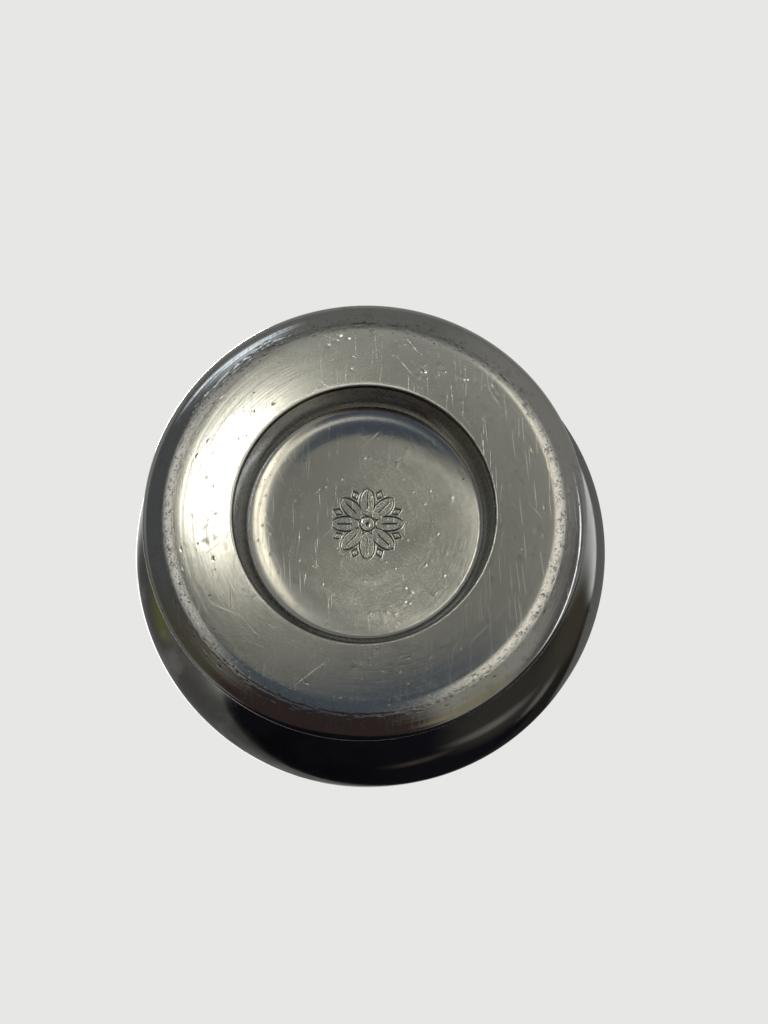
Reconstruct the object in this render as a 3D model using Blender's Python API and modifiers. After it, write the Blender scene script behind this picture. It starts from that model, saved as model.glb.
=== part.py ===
"""Covered pewter sugar bowl on a low spun foot, standing on z = 0, turned about +Z.

The bowl, its foot and its lid are thin spun shells. Each one is the profile of its
visible side, spun by a Screw modifier and thickened by Solidify.
"""

import math

import bmesh
import bpy
from mathutils import Vector

MM = 0.001

# Driving dimensions
GAP = 0.3 * MM                  # play between pieces that touch
SPIN_STEPS = 48                 # facets round every turned piece
BELLY_RADIUS = 47.6 * MM
BELLY_HEIGHT = 34.2 * MM        # height of the widest circle
MOUTH_HEIGHT = 60.0 * MM
MOUTH_RADIUS = 42.3 * MM        # outer radius of the bowl at its mouth
FOOT_RADIUS = 38.0 * MM
STANDING_RADIUS = 33.5 * MM     # outer edge of the flat ring the bowl stands on
RECESS_RADIUS = 22.4 * MM       # edge of the hollow in the middle of the foot
RECESS_DEPTH = 10.3 * MM
LID_RISE = 11.5 * MM            # dome above its flat edge
KNOB_RADIUS = 7.6 * MM
KNOB_HEIGHT = 14.0 * MM

# Sheet thicknesses
BODY_WALL = 1.4 * MM
FOOT_WALL = 1.3 * MM
CUP_WALL = 1.0 * MM
LID_WALL = 1.2 * MM

# Derived levels and radii
BODY_BOTTOM = RECESS_DEPTH + CUP_WALL + 1.3 * MM
BOTTOM_FLAT_RADIUS = 7.5 * MM
STANDING_INNER = 30.0 * MM
RECESS_LIP = 0.5 * MM           # the flat face rises this much towards the recess
ROLL_HEIGHT = 1.9 * MM          # widest circle of the rounded foot edge
RIM_WIRE_RADIUS = 1.1 * MM
LID_EDGE_TOP = MOUTH_HEIGHT + GAP + LID_WALL
LID_EDGE_RADIUS = MOUTH_RADIUS + 2.4 * MM
DOME_RADIUS = 37.6 * MM
DOME_TOP = LID_EDGE_TOP + LID_RISE
BEZEL_RADIUS = 38.4 * MM
BEZEL_WALL = 1.0 * MM
BEZEL_DROP = 5.0 * MM
STUD_RADIUS = 1.5 * MM
STUD_HOLE = STUD_RADIUS + GAP
SEAT_RADIUS = 7.0 * MM
SEAT_THICKNESS = 1.5 * MM
NUT_RADIUS = 3.6 * MM
NUT_THICKNESS = 2.0 * MM
STUD_TAIL = 1.2 * MM            # stud left showing below the nut
STUD_IN_KNOB = 5.0 * MM

PEWTER = (0.47, 0.46, 0.44, 1.0)
POLISHED_PEWTER = (0.56, 0.55, 0.53, 1.0)
SOLDER = (0.40, 0.40, 0.39, 1.0)
BRASS = (0.62, 0.47, 0.22, 1.0)


def clear_scene():
    for old in list(bpy.data.objects):
        bpy.data.objects.remove(old)


def new_collection(name):
    collection = bpy.data.collections.new(name)
    bpy.context.scene.collection.children.link(collection)
    return collection


def metal(name, colour, roughness):
    material = bpy.data.materials.new(name)
    material.use_nodes = True
    shader = material.node_tree.nodes["Principled BSDF"]
    shader.inputs["Base Color"].default_value = colour
    shader.inputs["Roughness"].default_value = roughness
    shader.inputs["Metallic"].default_value = 1.0
    return material


def arc(centre, radii, start, end, count):
    """Points on an ellipse arc in (radius, height); degrees run from +X towards +Z."""
    points = []
    for step in range(count + 1):
        angle = math.radians(start + (end - start) * step / count)
        x = centre[0] + radii[0] * math.cos(angle)
        z = centre[1] + radii[1] * math.sin(angle)
        points.append((x, z))
    return points


def bezier(a, b, c, d, count):
    """Points on a cubic curve from a to d, without a itself."""
    points = []
    for step in range(1, count + 1):
        t = step / count
        s = 1.0 - t
        weights = (s ** 3, 3 * s * s * t, 3 * s * t * t, t ** 3)
        x = sum(w * p[0] for w, p in zip(weights, (a, b, c, d)))
        z = sum(w * p[1] for w, p in zip(weights, (a, b, c, d)))
        points.append((x, z))
    return points


def spin(name, profile, material, collection, closed=False, wall=0.0):
    """Turn a profile about Z. An open profile gets a wall on its inner side."""
    mesh = bpy.data.meshes.new(name)
    edges = [(i, i + 1) for i in range(len(profile) - 1)]
    if closed:
        edges.append((len(profile) - 1, 0))
    mesh.from_pydata([(x, 0.0, z) for x, z in profile], edges, [])
    piece = bpy.data.objects.new(name, mesh)
    collection.objects.link(piece)
    screw = piece.modifiers.new("Spin", "SCREW")
    screw.steps = SPIN_STEPS
    screw.render_steps = SPIN_STEPS
    screw.use_merge_vertices = True
    screw.merge_threshold = 0.00001
    screw.use_smooth_shade = True
    if wall:
        shell = piece.modifiers.new("Wall", "SOLIDIFY")
        shell.thickness = wall
        shell.offset = -1.0
        shell.use_even_offset = True
    mesh.materials.append(material)
    return piece


def body_profile():
    """Outer side of the bowl, from the mouth down to the middle of its bottom."""
    shoulder = (BELLY_RADIUS - 11.0 * MM, BELLY_HEIGHT)
    shoulder_size = (11.0 * MM, 21.5 * MM)
    upper = arc(shoulder, shoulder_size, 60, 0, 6)
    mouth = (MOUTH_RADIUS, MOUTH_HEIGHT)
    lip = (MOUTH_RADIUS, MOUTH_HEIGHT - 1.4 * MM)
    below_lip = (MOUTH_RADIUS, MOUTH_HEIGHT - 2.8 * MM)
    above_shoulder = (upper[0][0] - 1.0 * MM, upper[0][1] + 1.4 * MM)
    neck = [mouth, lip] + bezier(lip, below_lip, above_shoulder, upper[0], 3)
    bowl_centre = (BOTTOM_FLAT_RADIUS, BELLY_HEIGHT)
    bowl_size = (BELLY_RADIUS - BOTTOM_FLAT_RADIUS, BELLY_HEIGHT - BODY_BOTTOM)
    lower = arc(bowl_centre, bowl_size, 0, -90, 11)
    return neck + upper[1:] + lower[1:] + [(0.0, BODY_BOTTOM)]


def belly_height(radius):
    """Height of the bowl's underside at a radius inside its widest circle."""
    across = (radius - BOTTOM_FLAT_RADIUS) / (BELLY_RADIUS - BOTTOM_FLAT_RADIUS)
    drop = (BELLY_HEIGHT - BODY_BOTTOM) * math.sqrt(1.0 - across * across)
    return BELLY_HEIGHT - drop


def foot_profile():
    """Outer side of the foot: neck, rounded edge, standing ring and face to the recess."""
    top_radius = 31.0 * MM
    top = (top_radius, belly_height(top_radius) - 2.0 * GAP)
    waist = (31.6 * MM, 10.5 * MM)
    roll_top = (36.0 * MM, 5.2 * MM)
    neck = [top] + bezier(top, (30.6 * MM, 12.5 * MM), waist, (33.0 * MM, 8.0 * MM), 3)
    neck += bezier(neck[-1], (33.7 * MM, 6.6 * MM), (34.8 * MM, 5.6 * MM), roll_top, 2)
    edge = (FOOT_RADIUS, ROLL_HEIGHT)
    roll = bezier(roll_top, (37.4 * MM, 4.8 * MM), (FOOT_RADIUS, 3.4 * MM), edge, 3)
    roll_size = (FOOT_RADIUS - STANDING_RADIUS, ROLL_HEIGHT)
    roll += arc((STANDING_RADIUS, ROLL_HEIGHT), roll_size, 0, -90, 5)[1:]
    face = [(STANDING_INNER, 0.0), (RECESS_RADIUS, RECESS_LIP)]
    return neck + roll + face


def cup_profile():
    """Underside of the recess cup: flange behind the foot's face, wall, cove, dished floor."""
    flange_height = RECESS_LIP + FOOT_WALL + GAP
    flange = [(RECESS_RADIUS + 3.5 * MM, flange_height), (RECESS_RADIUS, flange_height)]
    wall_end = (21.7 * MM, RECESS_DEPTH - 2.7 * MM)
    dish_edge = (20.4 * MM, RECESS_DEPTH - 0.88 * MM)
    floor_edge = (15.4 * MM, RECESS_DEPTH)
    wall = bezier(flange[-1], (22.35 * MM, 3.6 * MM), (22.1 * MM, 6.0 * MM), wall_end, 3)
    cove = (21.45 * MM, RECESS_DEPTH - 1.6 * MM)
    turn = (21.1 * MM, RECESS_DEPTH - 1.15 * MM)
    wall += bezier(wall_end, cove, turn, dish_edge, 4)
    dish = (19.2 * MM, RECESS_DEPTH - 0.5 * MM)
    level = (17.6 * MM, RECESS_DEPTH - 0.05 * MM)
    wall += bezier(dish_edge, dish, level, floor_edge, 4)
    return flange + wall + [(0.0, RECESS_DEPTH)]


def build_bowl(collection, satin, polished, solder):
    spin("bowl_body", body_profile(), polished, collection, wall=BODY_WALL)
    wire_centre = (MOUTH_RADIUS + GAP + RIM_WIRE_RADIUS, MOUTH_HEIGHT - RIM_WIRE_RADIUS)
    wire_size = (RIM_WIRE_RADIUS, RIM_WIRE_RADIUS)
    wire = arc(wire_centre, wire_size, 90, -270, 8)[:-1]
    spin("rim_wire", wire, polished, collection, closed=True)
    spin("foot_ring", foot_profile(), satin, collection, wall=FOOT_WALL)
    spin("recess_cup", cup_profile(), satin, collection, wall=CUP_WALL)
    spin("solder_seam", solder_profile(), solder, collection, closed=True)


def solder_profile():
    """Fillet of solder in the corner between the foot's neck and the bowl, inside."""
    outer = 31.0 * MM - FOOT_WALL - 2.0 * GAP
    inner = outer - 1.8 * MM
    low = belly_height(outer) - GAP - 2.4 * MM
    high_outer = belly_height(outer) - 2.0 * GAP
    high_inner = belly_height(inner) - 2.0 * GAP
    return [(outer, high_outer), (outer, low), (inner, high_inner)]


def dome_profile():
    """Upper side of the lid, from the stud hole out to the edge on the mouth."""
    dome = arc((0.0, LID_EDGE_TOP), (DOME_RADIUS, LID_RISE), 90, 8, 11)
    crown = [(STUD_HOLE, DOME_TOP), (SEAT_RADIUS, DOME_TOP)]
    slope = [point for point in dome if point[0] > SEAT_RADIUS + 1.0 * MM]
    edge = [(DOME_RADIUS + 0.9 * MM, LID_EDGE_TOP), (LID_EDGE_RADIUS - 0.3 * MM, LID_EDGE_TOP)]
    corner = [(LID_EDGE_RADIUS, LID_EDGE_TOP - 0.3 * MM)]
    return crown + slope + edge, corner


def lid_profile():
    """Closed section of the lid: upper side, edge, flat seat and hollow underside."""
    upper, corner = dome_profile()
    seat_height = LID_EDGE_TOP - LID_WALL
    seat = [(LID_EDGE_RADIUS, seat_height + 0.2 * MM), (LID_EDGE_RADIUS - 0.2 * MM, seat_height)]
    under_size = (DOME_RADIUS - LID_WALL, LID_RISE)
    under = arc((0.0, seat_height), under_size, 0, 90, 10)
    hollow = [point for point in under if point[0] > NUT_RADIUS + 1.0 * MM]
    crown = [(NUT_RADIUS + 0.6 * MM, DOME_TOP - LID_WALL), (STUD_HOLE, DOME_TOP - LID_WALL)]
    return upper + corner + seat + hollow + crown


def knob_profile():
    """Closed section of the knob: button, stem and the blind hole for its stud."""
    base = DOME_TOP + SEAT_THICKNESS + 2.0 * GAP
    top = base + KNOB_HEIGHT
    widest = (0.0, top - 5.0 * MM)
    button = arc(widest, (KNOB_RADIUS, top - widest[1]), 90, 0, 6)
    under = arc(widest, (KNOB_RADIUS, 4.2 * MM), 0, -58, 4)[1:]
    stem_foot = (4.6 * MM, base)
    stem = bezier(under[-1], (2.6 * MM, base + 4.2 * MM), (2.8 * MM, base + 1.2 * MM), stem_foot, 4)
    hole_top = base + STUD_IN_KNOB + GAP
    hole = [(STUD_HOLE, base), (STUD_HOLE, hole_top), (0.0, hole_top)]
    return button + under + stem + hole


def build_nut(collection, cutters, material):
    """Hexagonal nut that holds the knob's stud from inside the lid."""
    top = DOME_TOP - LID_WALL - GAP
    centre = Vector((0.0, 0.0, top - NUT_THICKNESS / 2))
    nut = round_bar("knob_nut", NUT_RADIUS, NUT_THICKNESS, centre, 6, collection)
    nut.data.materials.append(material)
    drill = round_bar("nut_drill", STUD_HOLE, NUT_THICKNESS * 2, centre, 24, cutters)
    drill.hide_render = True
    drill.display_type = "WIRE"
    cut = nut.modifiers.new("Hole", "BOOLEAN")
    cut.operation = "DIFFERENCE"
    cut.solver = "EXACT"
    cut.object = drill


def round_bar(name, radius, length, centre, sides, collection):
    mesh = bpy.data.meshes.new(name)
    shape = bmesh.new()
    bmesh.ops.create_cone(shape, cap_ends=True, segments=sides, radius1=radius,
                          radius2=radius, depth=length)
    shape.to_mesh(mesh)
    shape.free()
    bar = bpy.data.objects.new(name, mesh)
    bar.location = centre
    collection.objects.link(bar)
    return bar


def build_lid(collection, cutters, satin, polished, brass):
    spin("lid_dome", lid_profile(), polished, collection, closed=True)
    bezel_top = LID_EDGE_TOP - LID_WALL - GAP
    inner = BEZEL_RADIUS - BEZEL_WALL
    bottom = bezel_top - BEZEL_DROP
    bezel = [(BEZEL_RADIUS, bezel_top), (BEZEL_RADIUS, bottom), (inner, bottom), (inner, bezel_top)]
    spin("lid_bezel", bezel, satin, collection, closed=True)
    seat_low = DOME_TOP + GAP
    seat_top = seat_low + SEAT_THICKNESS
    seat = [(STUD_HOLE, seat_top), (4.9 * MM, seat_top)]
    seat += bezier(seat[-1], (SEAT_RADIUS - 0.7 * MM, seat_top), (SEAT_RADIUS, seat_top - 0.7 * MM),
                   (SEAT_RADIUS, seat_low), 2)
    seat.append((STUD_HOLE, seat_low))
    spin("knob_seat", seat, polished, collection, closed=True)
    spin("lid_knob", knob_profile(), polished, collection, closed=True)
    stud_top = DOME_TOP + SEAT_THICKNESS + 2.0 * GAP + STUD_IN_KNOB
    stud_bottom = DOME_TOP - LID_WALL - GAP - NUT_THICKNESS - STUD_TAIL
    stud_middle = Vector((0.0, 0.0, (stud_top + stud_bottom) / 2))
    stud = round_bar("knob_stud", STUD_RADIUS, stud_top - stud_bottom, stud_middle, 24, collection)
    stud.data.materials.append(brass)
    stud.data.shade_smooth()
    stud.data.set_sharp_from_angle(angle=math.radians(35))
    build_nut(collection, cutters, brass)


def main():
    clear_scene()
    collection = new_collection("sugar_bowl")
    cutters = new_collection("cutters")
    satin = metal("satin_pewter", PEWTER, 0.34)
    polished = metal("polished_pewter", POLISHED_PEWTER, 0.12)
    solder = metal("solder", SOLDER, 0.5)
    brass = metal("brass", BRASS, 0.35)
    build_bowl(collection, satin, polished, solder)
    build_lid(collection, cutters, satin, polished, brass)


main()
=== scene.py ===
"""Looks of the covered pewter sugar bowl: fine spun surfaces, wear, painted highlights and shade, a plain
studio.

Every visible shell is turned again here from the same outline as its CAD node, finely enough
to carry real turning grooves, pits and the stamped flower. Lengths are in millimetres until
turn() makes a mesh in metres.
"""
import math

import bmesh
import bpy
import numpy as np
from mathutils import Matrix, Vector


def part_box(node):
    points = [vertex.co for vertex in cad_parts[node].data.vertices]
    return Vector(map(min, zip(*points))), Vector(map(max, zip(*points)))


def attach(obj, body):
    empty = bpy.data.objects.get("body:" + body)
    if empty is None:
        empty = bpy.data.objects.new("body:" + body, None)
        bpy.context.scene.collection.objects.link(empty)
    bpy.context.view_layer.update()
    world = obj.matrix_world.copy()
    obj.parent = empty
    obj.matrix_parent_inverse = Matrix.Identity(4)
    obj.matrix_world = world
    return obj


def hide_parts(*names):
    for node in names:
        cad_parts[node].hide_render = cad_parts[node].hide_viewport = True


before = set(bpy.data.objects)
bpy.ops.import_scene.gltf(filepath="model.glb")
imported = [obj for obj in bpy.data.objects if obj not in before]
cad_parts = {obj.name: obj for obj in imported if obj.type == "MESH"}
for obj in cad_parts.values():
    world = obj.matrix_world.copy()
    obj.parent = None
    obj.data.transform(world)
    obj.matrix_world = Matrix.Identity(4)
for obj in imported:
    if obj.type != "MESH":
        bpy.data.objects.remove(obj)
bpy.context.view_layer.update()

MM = 0.001
TAU = 2.0 * math.pi


# ---------------------------------------------------------------- sizes, from the frame

def size_of(node):
    low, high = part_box(node)
    return [value / MM for value in low], [value / MM for value in high]


BODY_LOW, BODY_HIGH = size_of("bowl_body")
_, FOOT_HIGH = size_of("foot_ring")
_, CUP_HIGH = size_of("recess_cup")
WIRE_LOW, WIRE_HIGH = size_of("rim_wire")
DOME_LOW, DOME_HIGH = size_of("lid_dome")
BEZEL_LOW, BEZEL_HIGH = size_of("lid_bezel")
SEAT_LOW, SEAT_HIGH = size_of("knob_seat")
KNOB_LOW, KNOB_HIGH = size_of("lid_knob")

GAP = 0.3
TIGHT = 0.04                    # what shows of a soldered or pressed seam
BODY_WALL = 1.4
FOOT_WALL = 1.3
CUP_WALL = 1.0
LID_WALL = 1.2

BELLY_RADIUS = BODY_HIGH[0]
BELLY_HEIGHT = 34.2
BODY_BOTTOM = BODY_LOW[2]
BOTTOM_FLAT_RADIUS = 7.5
MOUTH_HEIGHT = BODY_HIGH[2]
MOUTH_RADIUS = 42.3
FOOT_RADIUS = FOOT_HIGH[0]
GROOVE_RADIUS = 33.8
ROLL_HEIGHT = 1.9
RECESS_RADIUS = 22.4
RECESS_LIP = 0.5
RECESS_DEPTH = CUP_HIGH[2] - CUP_WALL
FLOOR_DISH = 0.45               # how far the recess floor is hollowed at its edge
FLOOR_RADIUS = 15.4
DISH_RADIUS = 20.4              # where the dished floor turns up into the cove
LID_EDGE_TOP = DOME_LOW[2] + LID_WALL
DOME_RADIUS = 37.6
DOME_TOP = DOME_HIGH[2]


# ---------------------------------------------------------------- outlines, (radius, height)

def arc(centre, radii, start, end, count=60):
    """Points on an ellipse arc; degrees run from +X towards +Z."""
    angles = np.radians(np.linspace(start, end, count + 1))
    return [(centre[0] + radii[0] * math.cos(a), centre[1] + radii[1] * math.sin(a)) for a in angles]


def bezier(a, b, c, d, count=40):
    """Points on a cubic curve from a to d."""
    t = np.linspace(0.0, 1.0, count + 1)[:, None]
    s = 1.0 - t
    a, b, c, d = (np.array(point, float) for point in (a, b, c, d))
    return [tuple(p) for p in s ** 3 * a + 3 * s * s * t * b + 3 * s * t * t * c + t ** 3 * d]


def even(points, spacing):
    """The same line with its points spread evenly, about spacing apart."""
    line = np.array(points, float)
    along = np.concatenate([[0.0], np.cumsum(np.hypot(*np.diff(line, axis=0).T))])
    count = max(1, round(along[-1] / spacing))
    marks = np.linspace(0.0, along[-1], count + 1)
    return np.column_stack([np.interp(marks, along, line[:, k]) for k in (0, 1)])


def join(*stretches):
    """Stretches end to end, each dropping a point it shares with the one before."""
    line = np.array(stretches[0], float)
    for stretch in stretches[1:]:
        stretch = np.array(stretch, float)
        shared = np.allclose(stretch[0], line[-1], atol=1e-6)
        line = np.vstack([line, stretch[1:] if shared else stretch])
    return line


def rounded(corners, radii, count=5):
    """Closed outline through the corners, each rounded by its own radius."""
    points = [np.array(corner, float) for corner in corners]
    line = []
    for index, (corner, radius) in enumerate(zip(points, radii)):
        back = points[index - 1] - corner
        onward = points[(index + 1) % len(points)] - corner
        start = corner + back / np.linalg.norm(back) * radius
        end = corner + onward / np.linalg.norm(onward) * radius
        bend = bezier(start, start * 0.45 + corner * 0.55, end * 0.45 + corner * 0.55, end, count)
        line += bend if radius else [tuple(corner)]
    return np.array(line)


def normals_of(line, closed=False):
    """Unit normals, outwards for a line that runs top to bottom on the outer side."""
    if closed:
        step = np.roll(line, -1, axis=0) - np.roll(line, 1, axis=0)
    else:
        step = np.gradient(line, axis=0)
    normal = np.column_stack([-step[:, 1], step[:, 0]])
    return normal / np.linalg.norm(normal, axis=1)[:, None]


def shell(line, wall, spacing, lip=0.0):
    """Hidden side of a shell, a lip of the given bulge, then its visible side."""
    inner = line - normals_of(line) * wall
    inner[:, 0] = np.maximum(inner[:, 0], 0.0)
    inner = even(inner[::-1], spacing)
    if not lip:
        return join(inner, line)
    up = np.array([0.0, lip * 4.0 / 3.0])
    return join(inner, bezier(inner[-1], inner[-1] + up, line[0] + up, line[0], 8), line)


def body_outline(spacing):
    """Outer side of the bowl, from just below the mouth to the middle of its bottom."""
    upper = arc((BELLY_RADIUS - 11.0, BELLY_HEIGHT), (11.0, 21.5), 60, 0)
    lip = (MOUTH_RADIUS, MOUTH_HEIGHT - 1.4)
    neck = [(MOUTH_RADIUS, MOUTH_HEIGHT - BODY_WALL / 2)]
    neck += bezier(lip, (MOUTH_RADIUS, MOUTH_HEIGHT - 2.8), (upper[0][0] - 1.0, upper[0][1] + 1.4),
                   upper[0])
    size = (BELLY_RADIUS - BOTTOM_FLAT_RADIUS, BELLY_HEIGHT - BODY_BOTTOM)
    lower = arc((BOTTOM_FLAT_RADIUS, BELLY_HEIGHT), size, 0, -90, 120)
    return even(join(neck, upper, lower, [lower[-1], (0.0, BODY_BOTTOM)]), spacing)


def foot_outline(spacing):
    """Outer side of the foot: neck, rounded edge, worn contact band, face, recess edge."""
    bend = (33.0, 8.0)
    roll_top = (36.0, 5.2)
    widest = (FOOT_RADIUS, ROLL_HEIGHT)
    groove = (GROOVE_RADIUS, 0.14)
    contact = (GROOVE_RADIUS - 1.6, 0.0)
    inner = (GROOVE_RADIUS - 2.2, 0.012)
    edge = (RECESS_RADIUS + 0.35, 0.30)
    neck = bezier((31.0, FOOT_HIGH[2]), (30.6, 12.5), (31.6, 10.5), bend)
    neck += bezier(bend, (33.7, 6.6), (34.8, 5.6), roll_top)[1:]
    neck += bezier(roll_top, (37.4, 4.8), (FOOT_RADIUS, 3.4), widest)[1:]
    roll = bezier(widest, (FOOT_RADIUS, 1.05), (36.2, 0.80), groove)
    face = bezier(groove, (33.3, 0.04), (32.7, 0.0), contact)
    face += bezier(contact, (32.0, 0.0), (31.8, 0.006), inner)[1:] + [edge]
    lip = (RECESS_RADIUS, 0.32)
    turn_in = bezier(edge, lip, lip, (RECESS_RADIUS, 0.75), 7)
    return join(even(neck, 0.5), even(roll, spacing), even(face, spacing), turn_in)


# how finely the recess floor is divided, from its edge inwards: (down to radius, spacing)
FLOOR_RINGS = ((13.6, 0.35), (11.7, 0.10), (10.8, 0.30), (10.2, 0.075), (9.5, 0.10), (7.5, 0.11),
               (6.9, 0.075), (1.0, 0.12), (0.0, 0.20))


def cup_outline():
    """Underside of the recess: flange, steep wall, cove and the dished, stamped floor."""
    flange = RECESS_LIP + FOOT_WALL + TIGHT
    wall_end = (21.7, RECESS_DEPTH - 2.7)
    dish_edge = (DISH_RADIUS, RECESS_DEPTH - 1.25)
    floor_edge = (FLOOR_RADIUS, RECESS_DEPTH - FLOOR_DISH)
    start = (RECESS_RADIUS, flange)
    rim = [(RECESS_RADIUS + 3.5, flange), start]
    wall = bezier(start, (22.35, 3.6), (22.1, 6.0), wall_end)
    cove = bezier(wall_end, (21.45, RECESS_DEPTH - 1.85), (21.1, RECESS_DEPTH - 1.45), dish_edge)
    cove += bezier(dish_edge, (19.4, RECESS_DEPTH - 0.96), (17.6, RECESS_DEPTH - FLOOR_DISH - 0.13),
                   floor_edge)[1:]
    line = join(even(rim, 1.2), even(wall, 0.30), even(cove, 0.18))
    for radius, spacing in FLOOR_RINGS:
        radii = np.linspace(line[-1][0], radius, max(2, round((line[-1][0] - radius) / spacing)))
        line = join(line, np.column_stack([radii, RECESS_DEPTH - FLOOR_DISH * (radii / FLOOR_RADIUS) ** 2]))
    return line


def lid_outline(spacing):
    """Closed section of the lid: crown, dome, flat edge, seat and hollow underside."""
    rise = DOME_TOP - LID_EDGE_TOP
    hole = 1.55
    flat = 7.2
    start = math.degrees(math.acos(flat / DOME_RADIUS))
    dome = arc((0.0, LID_EDGE_TOP), (DOME_RADIUS, rise), start, 8, 120)
    dome[0] = (flat, DOME_TOP)
    land = bezier(dome[-1], (DOME_RADIUS + 0.1, LID_EDGE_TOP + 0.5), (DOME_RADIUS + 0.5, LID_EDGE_TOP),
                  (DOME_RADIUS + 1.4, LID_EDGE_TOP), 12)
    edge = DOME_HIGH[0]
    seat = DOME_LOW[2]
    outer = bezier((edge - 0.6, LID_EDGE_TOP), (edge, LID_EDGE_TOP), (edge, seat), (edge - 0.6, seat), 10)
    under = arc((0.0, seat), (DOME_RADIUS - LID_WALL, rise), 0, 88, 120)
    top = even([(hole, DOME_TOP), (flat - 0.6, DOME_TOP)], 0.8)
    upper = join(top, even(dome[3:], spacing), land, even([land[-1], outer[0]], 0.4), outer)
    lower = join(even([outer[-1], under[0]], 0.8), even(under, 0.8), [(hole, DOME_TOP - LID_WALL)])
    return join(upper, lower)


def bezel_outline():
    low, high = BEZEL_LOW[2], BEZEL_HIGH[2] + GAP - TIGHT
    outer, inner = BEZEL_HIGH[0], BEZEL_HIGH[0] - 1.0
    return rounded([(outer, high), (outer, low), (inner, low), (inner, high)], (0.0, 0.35, 0.35, 0.0))


def seat_outline():
    low, high = SEAT_LOW[2] - GAP + TIGHT, SEAT_HIGH[2]
    radius = SEAT_HIGH[0]
    return rounded([(1.7, high), (5.6, high), (6.0, high - 0.55), (radius, high - 0.75), (radius, low),
                    (1.7, low)], (0.0, 0.15, 0.2, 0.3, 0.1, 0.0))


def knob_outline(spacing):
    """Closed section of the knob: button, stem with a small ring, foot and stud hole."""
    base = KNOB_LOW[2] - GAP + TIGHT
    top = KNOB_HIGH[2]
    radius = KNOB_HIGH[0]
    widest = (0.0, top - 5.0)
    crown = arc(widest, (radius, 5.0), 90, 0)
    under = arc(widest, (radius, 4.2), 0, -58, 40)
    stem = bezier(under[-1], (2.6, base + 4.5), (2.8, base + 1.5), (4.6, base + 0.3))
    foot = bezier(stem[-1], (4.7, base + 0.25), (4.7, base + 0.1), (4.6, base), 4)
    hole = [(1.6, base), (1.6, base + 5.0), (0.0, base + 5.0)]
    return join(even(join(crown, under, stem), spacing), foot, hole)


# ---------------------------------------------------------------- turned meshes

def turn(name, outline, segments, relief=None, closed=True):
    """Spins an outline about Z into one closed mesh. relief gives each point's push along
    its normal, and values that the material reads."""
    poles = [outline[0][0] < 1e-6, outline[-1][0] < 1e-6]
    closed = closed and not any(poles)
    normal = normals_of(outline, closed)
    angle = np.arange(segments) / segments * TAU
    radius, angles = np.meshgrid(outline[:, 0], angle, indexing="ij")
    height = np.repeat(outline[:, 1:2], segments, axis=1)
    push, values = relief(radius, height, angles) if relief else (0.0, {})
    across = radius + normal[:, 0:1] * push
    height = height + normal[:, 1:2] * push
    points = np.stack([across * np.cos(angles), across * np.sin(angles), height], axis=-1)
    rings = len(outline)
    index = np.arange(rings * segments).reshape(rings, segments)
    below = np.roll(index, -1, axis=0) if closed else index[1:]
    above = index if closed else index[:-1]
    quads = np.stack([above, below, np.roll(below, -1, axis=1), np.roll(above, -1, axis=1)], axis=-1)
    mesh = bpy.data.meshes.new(name)
    mesh.from_pydata(points.reshape(-1, 3) * MM, [], quads.reshape(-1, 4))
    for label, value in values.items():
        layer = mesh.attributes.new(label, "FLOAT", "POINT")
        layer.data.foreach_set("value", value.astype(np.float32).ravel())
    weld_poles(mesh, poles)
    mesh.shade_smooth()
    mesh.set_sharp_from_angle(angle=math.radians(48))
    piece = bpy.data.objects.new(name, mesh)
    bpy.context.scene.collection.objects.link(piece)
    return piece


def weld_poles(mesh, poles):
    """Merges the ring of points that lies on the axis into one."""
    if not any(poles):
        return
    shape = bmesh.new()
    shape.from_mesh(mesh)
    on_axis = [v for v in shape.verts if math.hypot(v.co.x, v.co.y) < 1e-7]
    bmesh.ops.remove_doubles(shape, verts=on_axis, dist=1e-6)
    shape.to_mesh(mesh)
    shape.free()


def place(piece, body, node, material):
    piece.data.materials.append(material)
    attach(piece, body)
    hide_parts(node)


# ---------------------------------------------------------------- relief

def waves(radius, angle, seed, count=14, turns=5, spread=1.2):
    """Gentle unevenness, smooth and seamless round the axis, between about -1 and 1."""
    dice = np.random.default_rng(seed)
    total = np.zeros_like(radius)
    for _ in range(count):
        turns_round = dice.integers(1, turns + 1)
        total += np.cos(turns_round * angle + radius * dice.normal(0.0, spread) + dice.uniform(0, TAU))
    return total / math.sqrt(count)


def grooves(along, seed, pitches=(0.55, 0.8, 1.3, 2.1)):
    """Turning marks: a sum of pitches whose strength drifts, about -1 to 1."""
    dice = np.random.default_rng(seed)
    total = np.zeros_like(along)
    for pitch in pitches:
        drift = np.cos(along * dice.uniform(0.5, 1.5) + dice.uniform(0, TAU))
        total += (0.6 + 0.4 * drift) * np.cos(TAU * along / pitch + dice.uniform(0, TAU))
    return total / math.sqrt(len(pitches))


def dents(radius, angle, spots):
    """Sum of small round hollows. Each spot is (radius, angle, size, depth)."""
    depth = np.zeros_like(radius)
    rings = radius[:, 0]
    columns = angle[0]
    for spot_radius, spot_angle, size, deep in spots:
        near = np.abs(rings - spot_radius) < 2.2 * size
        apart = (columns - spot_angle + math.pi) % TAU - math.pi
        close = np.abs(apart) * max(spot_radius, 0.5) < 2.2 * size
        if not near.any() or not close.any():
            continue
        window = np.ix_(near, close)
        across = (rings[near] - spot_radius)[:, None]
        along = (apart[close] * spot_radius)[None, :]
        depth[window] += deep * np.exp(-(across ** 2 + along ** 2) / size ** 2)
    return depth


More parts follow.
